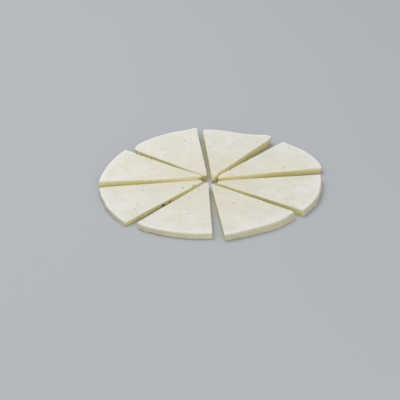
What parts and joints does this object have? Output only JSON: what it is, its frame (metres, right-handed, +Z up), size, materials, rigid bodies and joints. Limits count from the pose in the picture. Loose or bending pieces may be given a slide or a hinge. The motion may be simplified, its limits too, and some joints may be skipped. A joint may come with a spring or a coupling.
{
  "type": "young sheep cheese, cut in a round of thin slices",
  "caption": "Young white sheep cheese in a flat round of thin wedge slices, tips together, with small eyes in the paste and a soft rim, lying on its underside.",
  "frame": {"origin": "middle of the bounding box, on the underside, which is the surface the slices lie on", "axes": "+Z up; +Y along the gap between the two back slices, away from the viewer; +X to the viewer's right"},
  "size_m": [0.2126, 0.218, 0.0084],
  "materials": {
    "paste": "matte, slightly moist and translucent cheese paste"
  },
  "bodies": {
    "root": {"slice_back_left": "paste", "slice_back_right": "paste", "slice_right_back": "paste", "slice_right_front": "paste", "slice_front_right": "paste", "slice_front_left": "paste", "slice_left_front": "paste", "slice_left_back": "paste"}
  },
  "joints": []
}
